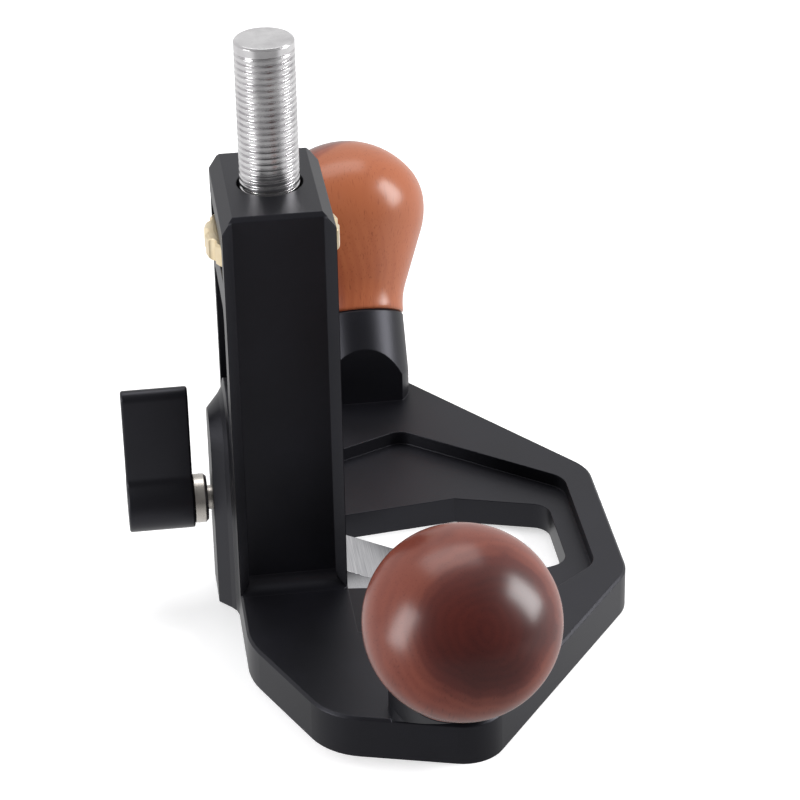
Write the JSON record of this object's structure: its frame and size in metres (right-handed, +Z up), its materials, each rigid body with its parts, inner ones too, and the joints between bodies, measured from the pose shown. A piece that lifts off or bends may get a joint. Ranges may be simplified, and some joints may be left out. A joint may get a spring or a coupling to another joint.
{
  "type": "hand router plane",
  "caption": "Hand router plane with an upright threaded cutter post, a wheel nut for its depth, a clamp lever and leaning knobs on a flat sole with an open mouth.",
  "frame": {"origin": "on the sole's plane, below the middle of the whole object's length and width", "axes": "+X from the clamp lever to the mouth's front rim, +Y to the left knob, +Z up along the post"},
  "size_m": [0.1194, 0.2452, 0.1453],
  "materials": {
    "black_body": "satin black anodised",
    "black_lever": "satin black anodised",
    "turned_wood": "polished red-brown",
    "brass": "turned",
    "stainless_steel": "turned",
    "bright_steel": "plated",
    "ground_tool_steel": "ground"
  },
  "bodies": {
    "plane": {"plane_body": "black_body", "wheel_washers": "bright_steel", "left_knob": "turned_wood", "right_knob": "turned_wood", "left_knob_insert": "brass", "right_knob_insert": "brass", "left_knob_stud": "bright_steel", "right_knob_stud": "bright_steel"},
    "wheel": {"depth_wheel": "brass"},
    "cutter_post": {"depth_post": "stainless_steel", "blade": "ground_tool_steel", "blade_screw": "bright_steel", "blade_dowels": "bright_steel"},
    "clamp_tip": {"clamp_pad": "brass"},
    "lever": {"clamp_lever": "black_lever", "clamp_collar": "stainless_steel", "clamp_stud": "stainless_steel"}
  },
  "joints": [
    {"name": "wheel_turn", "type": "hinge", "parent": "plane", "child": "wheel", "pos_m": [-0.02165, 0, 0.0957], "axis": [0, 0, 1], "range_deg": [-725, 7205]},
    {"name": "depth_slide", "type": "slide", "parent": "plane", "child": "cutter_post", "axis": [0, 0, 1], "range_m": [-0.03, 0.003]},
    {"name": "tip_slide", "type": "slide", "parent": "plane", "child": "clamp_tip", "axis": [1, 0, 0], "range_m": [-0.00034, 0]},
    {"name": "lever_turn", "type": "hinge", "parent": "clamp_tip", "child": "lever", "pos_m": [-0.04365, 0, 0.0263], "axis": [1, 0, 0], "range_deg": [-120, 0]}
  ],
  "couplings": [
    {"joint": "wheel_turn", "follows": "depth_slide", "rad_per_m": -4188.8},
    {"joint": "tip_slide", "follows": "lever_turn", "m_per_rad": 0.00015915}
  ]
}
